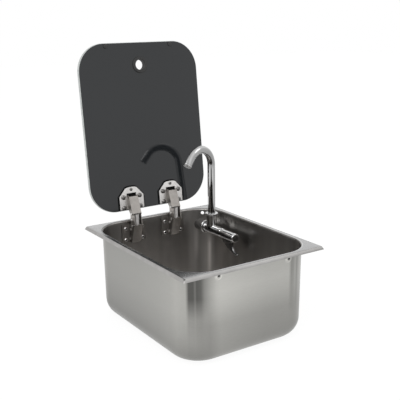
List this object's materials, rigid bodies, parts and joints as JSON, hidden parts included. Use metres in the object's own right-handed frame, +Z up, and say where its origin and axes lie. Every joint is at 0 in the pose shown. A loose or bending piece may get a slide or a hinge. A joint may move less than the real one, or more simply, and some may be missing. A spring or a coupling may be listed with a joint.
{
  "type": "camper sink with glass lid",
  "caption": "Drawn steel bowl with a turned-down rim, a hinged tinted glass lid standing open, and a folding swan-neck tap in its rear corner.",
  "frame": {"origin": "centre of the bowl's flat base, on its outer face", "axes": "+X to the right along the hinge wall, +Y towards the hinge wall, +Z up; the lid stands open and the spout upright"},
  "size_m": [0.265, 0.3569, 0.4645],
  "materials": {
    "stainless": "fine brushed stainless steel",
    "plated_steel": "satin nickel-plated sheet steel",
    "chrome": "polished chrome plate",
    "black_rubber": "matt black rubber",
    "tinted_glass": "dark tinted toughened glass with a ground edge"
  },
  "bodies": {
    "sink": {"bowl": "stainless", "drain_seal": "black_rubber", "drain_strainer": "stainless", "lid_rest_left": "black_rubber", "lid_rest_right": "black_rubber", "tap_base": "chrome", "tap_seat": "stainless", "tap_washer": "black_rubber", "tap_nut": "stainless", "hinge_bracket_left": "plated_steel", "front_link_left": "plated_steel", "rear_link_left": "plated_steel", "lid_pin_left": "plated_steel", "link_pin_left": "plated_steel", "back_pin_left": "plated_steel", "link_spacer_left": "plated_steel", "bracket_spacer_left": "plated_steel", "bracket_rivet_left_low_a": "plated_steel", "bracket_rivet_left_low_b": "plated_steel", "bracket_rivet_left_high_a": "plated_steel", "bracket_rivet_left_high_b": "plated_steel", "hinge_bracket_right": "plated_steel", "front_link_right": "plated_steel", "rear_link_right": "plated_steel", "lid_pin_right": "plated_steel", "link_pin_right": "plated_steel", "back_pin_right": "plated_steel", "link_spacer_right": "plated_steel", "bracket_spacer_right": "plated_steel", "bracket_rivet_right_low_a": "plated_steel", "bracket_rivet_right_low_b": "plated_steel", "bracket_rivet_right_high_a": "plated_steel", "bracket_rivet_right_high_b": "plated_steel"},
    "lid": {"lid_glass": "tinted_glass", "grip_ring": "black_rubber", "lid_bumper_left": "black_rubber", "lid_bumper_right": "black_rubber", "hinge_pad_left": "black_rubber", "hinge_plate_left": "plated_steel", "centre_screw_left": "plated_steel", "lid_arm_left": "plated_steel", "plate_screw_left_low_a": "plated_steel", "plate_screw_left_low_b": "plated_steel", "plate_screw_left_high_a": "plated_steel", "plate_screw_left_high_b": "plated_steel", "hinge_pad_right": "black_rubber", "hinge_plate_right": "plated_steel", "centre_screw_right": "plated_steel", "lid_arm_right": "plated_steel", "plate_screw_right_low_a": "plated_steel", "plate_screw_right_low_b": "plated_steel", "plate_screw_right_high_a": "plated_steel", "plate_screw_right_high_b": "plated_steel"},
    "swivel": {"swivel_body": "chrome", "crown_ring": "chrome"},
    "spout": {"spout_tube": "chrome", "nozzle": "chrome"},
    "lever": {"lever_sleeve": "chrome", "lever_cap": "chrome"}
  },
  "joints": [
    {"name": "lid_hinge", "type": "hinge", "parent": "sink", "child": "lid", "pos_m": [0, 0.1394, 0.1674], "axis": [1, 0, 0], "range_deg": [0, 25]},
    {"name": "spout_fold", "type": "hinge", "parent": "sink", "child": "swivel", "pos_m": [0.0994, 0.106, 0.1225], "axis": [0, -1, 0], "range_deg": [0, 90]},
    {"name": "spout_swivel", "type": "hinge", "parent": "swivel", "child": "spout", "pos_m": [0.0994, 0.106, 0.1225], "axis": [0, 0, 1], "range_deg": [-18, 152]},
    {"name": "lever_turn", "type": "hinge", "parent": "sink", "child": "lever", "pos_m": [0.0994, 0.053, 0.1225], "axis": [0, 1, 0], "range_deg": [0, 90]}
  ]
}
